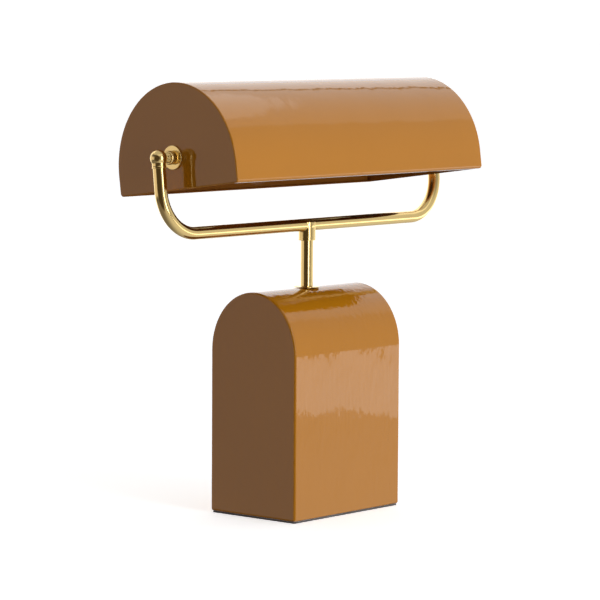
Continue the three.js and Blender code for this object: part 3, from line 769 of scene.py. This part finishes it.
def make_fixings():
    """Washer and chamfered hexagon nut inside each end of the shade."""
    for side in SIDES:
        start, length, radius = axis_extent(f"pivot_washer_{side}")
        washer = ring(f"washer_{side}", NUT_FIT, radius, 0, length, WASHER_EDGE,
                      axis_place(side, start))
        place_piece(washer, "base", "zinc_steel", steel, f"pivot_washer_{side}")

        start, length, corner = axis_extent(f"pivot_nut_{side}")
        place = axis_place(side, start)
        hexagon = cylinder(f"nut_{side}", corner, 0, length, place, sides=6)
        flat = corner * math.cos(math.pi / 6) - NUT_MARGIN
        bottom, top = -NUT_MARGIN, length + NUT_MARGIN
        chamfer = turned("chamfer", [(0, bottom), (flat, bottom), (corner, NUT_CHAMFER),
                                     (corner, length - NUT_CHAMFER), (flat, top), (0, top)],
                         place)
        hole = cylinder("hole", NUT_BORE, bottom, top, place)
        combine(hexagon, "INTERSECT", chamfer)
        combine(hexagon, "DIFFERENCE", hole)
        place_piece(hexagon, "base", "zinc_steel", steel, f"pivot_nut_{side}",
                    sharp_angle=NUT_SHARP)


HOLDER_BORE = 5.0 * MM
HOLDER_CAVITY = 7.6 * MM
HOLDER_FLOOR = 27 * MM
HOLDER_COLLAR = 4.5 * MM          # plain collar at the mouth
HOLDER_STEP = 0.7 * MM            # length of the slope between two radii
HOLDER_WAIST = 1 * MM             # how far the grip lies below the collar
HOLDER_LAND = 1.5 * MM            # plain length behind the grip
HOLDER_EDGE = 0.5 * MM
HOLDER_BACK = 9 * MM              # radius of the tapered back
HOLDER_TAPER = 6 * MM
HOLDER_SIDES = 144
GRIP_START = 7 * MM
GRIP_LENGTH = 10 * MM
GRIP_ROWS = 10
GRIP_RISE = 0.2 * MM
GRIP_FLUTES = 24
FLUTE_DEPTH = 0.5 * MM
FLUTE_FLOOR = 0.6 * MM            # flutes reach only what lies this close to the outside

CAP_TIP = 3 * MM                  # length of the cap's insulator and contact
CAP_TIP_PROFILE = ((3.4, 1.6), (2.4, 1.4), (1.6, 0.3))    # mm: radius, below the contact
CAP_PITCH = 2.8 * MM
CAP_THREAD = 0.7 * MM
CAP_CORE = 5 * MM
CAP_THREAD_START = 2 * MM
CAP_ROWS = 0.2 * MM
CAP_SIDES = 64


def holder_section(radius, length):
    grip = radius - HOLDER_WAIST
    grip_end = GRIP_START + GRIP_LENGTH
    mouth = [(HOLDER_CAVITY, 0), (radius, 0), (radius, HOLDER_COLLAR),
             (grip, HOLDER_COLLAR + HOLDER_STEP), (grip, GRIP_START)]
    ribs = [(radius - GRIP_RISE, GRIP_START + GRIP_LENGTH * i / GRIP_ROWS)
            for i in range(GRIP_ROWS + 1)]
    land_end = grip_end + HOLDER_LAND
    tail = [(grip, grip_end), (grip, land_end), (radius, land_end + HOLDER_STEP),
            (radius, length - HOLDER_TAPER), (HOLDER_BACK, length), (HOLDER_BORE, length),
            (HOLDER_BORE, HOLDER_FLOOR), (HOLDER_CAVITY, HOLDER_FLOOR), (HOLDER_CAVITY, 0)]
    return rounded(mouth, HOLDER_EDGE) + ribs + rounded(tail, HOLDER_EDGE)[:-1]


def fluted(outside):
    """Radius rule for the flutes of a holder's grip."""
    def radius_at(radius, height, angle):
        in_grip = GRIP_START <= height <= GRIP_START + GRIP_LENGTH
        if not in_grip or radius <= outside - FLUTE_FLOOR:
            return radius
        return radius - FLUTE_DEPTH * (0.5 - 0.5 * math.cos(GRIP_FLUTES * angle))
    return radius_at


def make_lampholders():
    for side in SIDES:
        start, length, radius = axis_extent(f"lampholder_{side}")
        holder = turned(f"holder_{side}", holder_section(radius, length),
                        axis_place(side, start), HOLDER_SIDES, closed=True,
                        radius_at=fluted(radius))
        place_piece(holder, "base", "black_plastic", phenolic, f"lampholder_{side}")

        start, length, radius = axis_extent(f"bulb_base_{side}")
        tip = [(r * MM, length - below * MM) for r, below in CAP_TIP_PROFILE]
        section = [(0, 0)] + rows_of(radius, length - CAP_TIP, CAP_ROWS) + tip + [(0, length)]
        cap = turned(f"bulb_cap_{side}", section, axis_place(side, start), CAP_SIDES,
                     radius_at=thread(CAP_PITCH, CAP_THREAD, CAP_CORE, CAP_THREAD_START))
        place_piece(cap, "base", "cap_aluminium", aluminium, f"bulb_base_{side}",
                    sharp_angle=THREAD_SHARP)


BULB_WALL = 0.9 * MM
BULB_WAIST = 10 * MM              # radius where the globe flows into its throat
BULB_NECK = 7 * MM
BULB_NECK_LENGTH = 4 * MM
THROAT_START = 9.2 * MM
THROAT_RISE = 5 * MM
THROAT_END = 7.6 * MM
BULB_STEPS = 40


def make_bulbs():
    """Hollow globes: out along the glass from the tip to the neck, and back inside it."""
    for side in SIDES:
        start, length, radius = axis_extent(f"bulb_globe_{side}")
        flare = 90 - math.degrees(math.acos(BULB_WAIST / radius))
        globe = arc((0, radius), (radius, radius), -90, flare, BULB_STEPS)
        throat = [(THROAT_START, globe[-1][1] + THROAT_RISE),
                  (THROAT_END, length - BULB_NECK_LENGTH), (BULB_NECK, length)]
        inner_throat = [(r - BULB_WALL, h) for r, h in reversed(throat)]
        inner_globe = arc((0, radius), (radius - BULB_WALL, radius - BULB_WALL), flare, -90,
                          BULB_STEPS)
        bulb = turned(f"bulb_{side}", globe + throat + inner_throat + inner_globe,
                      axis_place(side, start))
        place_piece(bulb, "base", "opal_glass", opal, f"bulb_globe_{side}",
                    sharp_angle=THREAD_SHARP)


# --------------------------------------------------------------------------- the shade

SHADE_TILT = math.radians(7.7)    # front rim raised at rest
SHADE_SHEET = 1 * MM
SHADE_EDGE = 1.5 * MM
RIM_RADIUS = 3.5 * MM
RIM_LIP = 2 * MM
PIVOT_RISE = 11.8 * MM            # pivot axis above the spring line
PIVOT_BACK = 2.3 * MM             # pivot axis behind the middle of the shade
SHADE_RISE = 83 * MM
SHADE_SKIRT = 19.5 * MM
SHADE_HALF_DEPTH = 76.5 * MM
RIM_STEPS = 10
PIN_HOLE = 5.4 * MM
PIN_HOLE_REACH = 10 * MM          # how far the hole's cutter passes the ends
OPENING_RISE = 3 * MM


def shade_outline(inset):
    """Closed (y, z) outline: arch, skirts, turned-in rims and a straight underside."""
    bend = RIM_RADIUS - inset
    centre = (SHADE_HALF_DEPTH - RIM_RADIUS, RIM_RADIUS - SHADE_SKIRT)
    right = arc(centre, (bend, bend), -90, 0, RIM_STEPS)
    crown = arc((0, 0), (SHADE_HALF_DEPTH - inset, SHADE_RISE - inset), 0, 180, ARCH_STEPS)
    left = arc((-centre[0], centre[1]), (bend, bend), 180, 270, RIM_STEPS)
    return [(y - PIVOT_BACK, z - PIVOT_RISE) for y, z in right + crown + left]


def make_shade():
    half_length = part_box("shade_cap_right")[1].x
    shade = prism("lacquered_shade", shade_outline(0), -half_length, half_length)
    bevel(shade, SHADE_EDGE, EDGE_SEGMENTS)
    inner_length = half_length - SHADE_SHEET
    hollow = prism("hollow", shade_outline(SHADE_SHEET), -inner_length, inner_length)
    lip = SHADE_HALF_DEPTH - RIM_RADIUS - RIM_LIP
    underside = -SHADE_SKIRT - PIVOT_RISE
    opening = block("opening", (-inner_length, -lip - PIVOT_BACK, underside - OVERCUT),
                    (inner_length, lip - PIVOT_BACK, underside + OPENING_RISE))
    reach = half_length + PIN_HOLE_REACH
    pin_hole = cylinder("pin_hole", PIN_HOLE, -reach, reach, Matrix.Rotation(math.pi / 2, 4, "Y"))
    combine(shade, "DIFFERENCE", hollow, opening, pin_hole)
    place = Matrix.Translation(pivot) @ Matrix.Rotation(-SHADE_TILT, 4, "X")
    shade.data.transform(place)
    place_piece(shade, "shade", "caramel_lacquer", shade_lacquer,
                "shade_shell", "shade_cap_left", "shade_cap_right", sharp_angle=OUTSIDE_SHARP)
    # Faces that look into the shade's hollow take the darker lacquer: painted shade inside the
    # shade
    shade.data.materials.append(painted_shade_lacquer)
    middle = place @ Vector((0, -PIVOT_BACK, -PIVOT_RISE))
    for face in shade.data.polygons:
        if face.normal.dot(middle - face.center) > 0:
            face.material_index = 1


# ------------------------------------------------------------------ CAD pieces that stay

HIDDEN_FINISHES = {
    "ballast_block": iron,
    "ballast_screw": steel,
    "floor_": steel,
    "lead_": insulation,
    "stem_nipple": turned_brass,
    "stem_nut": steel,
    "stem_star_washer": steel,
    "terminal_block": phenolic,
}


def finish_cad_pieces():
    """Procedural finishes on the CAD pieces that no visual piece stands for."""
    for name, node in frame["nodes"].items():
        if node.hide_render:
            continue
        finish = next(f for start, f in HIDDEN_FINISHES.items() if name.startswith(start))
        node.data.materials.clear()
        node.data.materials.append(finish)


# ------------------------------------------------------------------------- the studio

FLOOR_RADIUS = 40.0
FLOOR_GLOW = 0.53
FLOOR_TONES = ((0.93, 0.93, 0.93, 1), (0.95, 0.95, 0.95, 1))
WHITE = (1, 1, 1, 1)


def make_floor():
    points = [(x, y, 0) for x, y in arc((0, 0), (FLOOR_RADIUS, FLOOR_RADIUS), 0, 360, 96)[:-1]]
    floor = new_piece("floor", points, [tuple(range(len(points)))])
    material, nodes, shader = new_finish(
        "pale_floor", Roughness=0.6, Specular_IOR_Level=0.0,
        Emission_Color=WHITE, Emission_Strength=FLOOR_GLOW)
    tone = nodes.noise(0.4, detail=2)
    nodes.feed(shader.inputs["Base Color"], nodes.mix(tone, *FLOOR_TONES))
    floor.data.materials.append(material)
    floor.visible_diffuse = False
    floor.visible_glossy = False
    floor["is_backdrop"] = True


# Radiances
BACKDROP = 1.45                   # behind and to the right
WALL_NEAR = 0.7                   # the right-hand wall, from its front end
WALL_FAR = 1.2                    # to its far end
WALL_STEP = 0.3                   # jump in brightness part-way along it
GLOW = 0.42                       # added to it where it meets the floor
STRIP_LEFT = 0.79                 # low lit strip beyond the left end
FRONT = 0.35
OVERHEAD = 0.07
DIM = 0.07                        # the dark room behind the camera
GROUND = (0.2, 0.78)              # from the left to the right
ROOM_TINT = (1, 0.76, 0.45, 1)
STRIP_TINT = (1.06, 0.99, 0.96, 1)

# Bearings in degrees from +X towards +Y
REAR = 90
STRIP = 160
ROOM = 203
FRONTAL = 270
BRIGHT_GROUND = -53

# Where one part of the studio fades into another: sines of elevations
BACKDROP_TOP = 0.537
WALL_TOP = 0.7
WALL_FADE = 0.15
GLOW_EDGE = (-0.07, -0.15)
STRIP_FOOT = (-0.3, -0.2)
STRIP_HEAD = (0.35, 0.2)
GROUND_EDGE = (-0.25, -0.5)
JOINT_FOOT = (0.002, 0.01)        # dark line along the backdrop's top, from that top
JOINT_HEAD = (0.026, 0.018)
BACKDROP_FADE = 0.008

# The same as cosines of angles to a bearing
WALL_SPAN = (-0.36, 0.15)
WALL_BREAK = (-0.36, -0.38)
BACKDROP_SIDE = (0.19, 0.23)
BACKDROP_END = (-0.45, -0.25)
JOINT_SIDE = (0.0, 0.1)
STRIP_EDGE = (0.35, 0.6)
FRONT_EDGE = (0.75, 0.95)
ROOM_EDGE = (0.68, 0.80)
ROOM_RISE = 0.08
GROUND_SPAN = (-0.6, 0.8)


def make_world():
    """A studio's surroundings by direction: lit backdrop, pale right-hand wall, low lit strip
    on the left, grey ceiling, and a dark room behind the camera."""
    world = bpy.data.worlds.new("studio")
    world.use_nodes = True
    bpy.context.scene.world = world
    nodes = Nodes(world.node_tree)
    where = nodes.new("ShaderNodeTexCoord").outputs["Generated"]
    height = nodes.new("ShaderNodeSeparateXYZ", Vector=where).outputs["Z"]

    def towards(degrees, rise=0.0):
        """Cosine of the angle to a direction: bearing from +X towards +Y, and its rise."""
        node = nodes.new("ShaderNodeVectorMath", {"operation": "DOT_PRODUCT"})
        nodes.feed(node.inputs[0], where)
        bearing = math.radians(degrees)
        direction = Vector((math.cos(bearing), math.sin(bearing), rise)).normalized()
        nodes.feed(node.inputs[1], direction)
        return node.outputs["Value"]

    def step(value, edge, base=0.0):
        """Rises from 0 to 1 between the two values of an edge."""
        return nodes.ramp(value, 0, 1, base + edge[0], base + edge[1], smooth=True)

    def both(first, second):
        return nodes.math("MULTIPLY", first, second)

    def blend(share, first, second):
        """first where share is 0 and second where it is 1."""
        rest = nodes.math("SUBTRACT", 1.0, share)
        return nodes.math("ADD", both(rest, first), both(share, second))

    back = towards(REAR)
    wall = nodes.math("ADD", nodes.ramp(back, WALL_NEAR + WALL_STEP, WALL_FAR, *WALL_SPAN),
                      both(step(height, GLOW_EDGE), GLOW))
    wall = nodes.math("SUBTRACT", wall, both(step(back, WALL_BREAK), WALL_STEP))
    wall = blend(step(height, (0, WALL_FADE), WALL_TOP), wall, OVERHEAD)
    beside = both(step(back, BACKDROP_SIDE), step(towards(0), BACKDROP_END))
    below_top = step(height, (BACKDROP_FADE, 0), BACKDROP_TOP)
    right = blend(both(beside, below_top), wall, BACKDROP)
    joint = both(step(height, JOINT_FOOT, BACKDROP_TOP), step(height, JOINT_HEAD, BACKDROP_TOP))
    right = blend(both(joint, step(back, JOINT_SIDE)), right, DIM)
    left = blend(both(step(height, STRIP_FOOT), step(height, STRIP_HEAD)), OVERHEAD, STRIP_LEFT)
    leftward = step(towards(STRIP), STRIP_EDGE)
    around = blend(leftward, right, left)
    around = blend(step(towards(FRONTAL), FRONT_EDGE), around, FRONT)
    ground = nodes.ramp(towards(BRIGHT_GROUND), *GROUND, *GROUND_SPAN, smooth=True)
    room = step(towards(ROOM, ROOM_RISE), ROOM_EDGE)
    lit = blend(room, blend(step(height, GROUND_EDGE), around, ground), DIM)
    tint = nodes.mix(room, nodes.mix(leftward, WHITE, STRIP_TINT), ROOM_TINT)
    background = nodes.new("ShaderNodeBackground", Color=tint, Strength=lit)
    output = nodes.new("ShaderNodeOutputWorld")
    nodes.tree.links.new(background.outputs[0], output.inputs[0])


def softbox(name, place, size, radiance, facing):
    """A rectangular soft light of one brightness, turned to face a direction."""
    data = bpy.data.lights.new(name, "AREA")
    data.shape = "RECTANGLE"
    data.size, data.size_y = size
    data.energy = radiance * math.pi * size[0] * size[1]
    light = bpy.data.objects.new(name, data)
    light.location = place
    light.rotation_euler = Vector(facing).to_track_quat("-Z", "Y").to_euler()
    light.visible_camera = False
    bpy.context.scene.collection.objects.link(light)
    return light


def bearing_point(azimuth, distance, height):
    """A point at a level distance from the lamp, at an azimuth from +X towards +Y."""
    bearing = math.radians(azimuth)
    return Vector((distance * math.cos(bearing), distance * math.sin(bearing), height))


LAMP_MIDDLE = Vector((0, 0, 0.2))
SUN_STRENGTH = 0.35
SUN_ANGLE = math.radians(70)
FRONT_PLACE = bearing_point(265, 2.1, 0.45)
FRONT_SIZE = (0.8, 1.5)
FRONT_RADIANCE = 8.3
CEILING_PLACE = Vector((0, 0, 2.2))
CEILING_SIZE = (4, 4)
CEILING_RADIANCE = 0.5
CARD_PLACE = bearing_point(253, 0.62, 0.39)
CARD_SIZE = (0.16, 0.5)
CARD_RADIANCE = 4.2
PANEL_PLACE = bearing_point(-42.5, 1.137, 0.004)
PANEL_SIZE = (1.6, 0.71)
PANEL_RADIANCE = 1.22
PANEL_FACING = bearing_point(-40.4, 0.001, 1.0)


def make_lights():
    """Light that falls on the lamp but isn't reflected, and panels that are only reflected."""
    overhead = bpy.data.lights.new("overhead", "SUN")
    overhead.energy = SUN_STRENGTH
    overhead.angle = SUN_ANGLE
    sun = bpy.data.objects.new("overhead", overhead)
    sun.visible_glossy = False
    bpy.context.scene.collection.objects.link(sun)
    front = softbox("front", FRONT_PLACE, FRONT_SIZE, FRONT_RADIANCE, LAMP_MIDDLE - FRONT_PLACE)
    front.visible_glossy = False
    ceiling = softbox("ceiling", CEILING_PLACE, CEILING_SIZE, CEILING_RADIANCE, (0, 0, -1))
    ceiling.visible_diffuse = False
    level = Vector((-CARD_PLACE.x, -CARD_PLACE.y, 0))
    card = softbox("card", CARD_PLACE, CARD_SIZE, CARD_RADIANCE, level)
    card.visible_diffuse = False
    softbox("low_panel", PANEL_PLACE, PANEL_SIZE, PANEL_RADIANCE, PANEL_FACING)


# ------------------------------------------------------------------------- everything

make_camera()
make_housing()
make_felt_pad()
make_grommet()
make_stem()
make_tee()
make_yoke()
make_pivots()
make_fixings()
make_lampholders()
make_bulbs()
make_shade()
finish_cad_pieces()
make_floor()
make_world()
make_lights()
bpy.context.scene.view_settings.view_transform = "Standard"

sizes = {"cad": cad_bounds, "visual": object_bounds()}
{key: [list(corner) for corner in box] for key, box in sizes.items()}
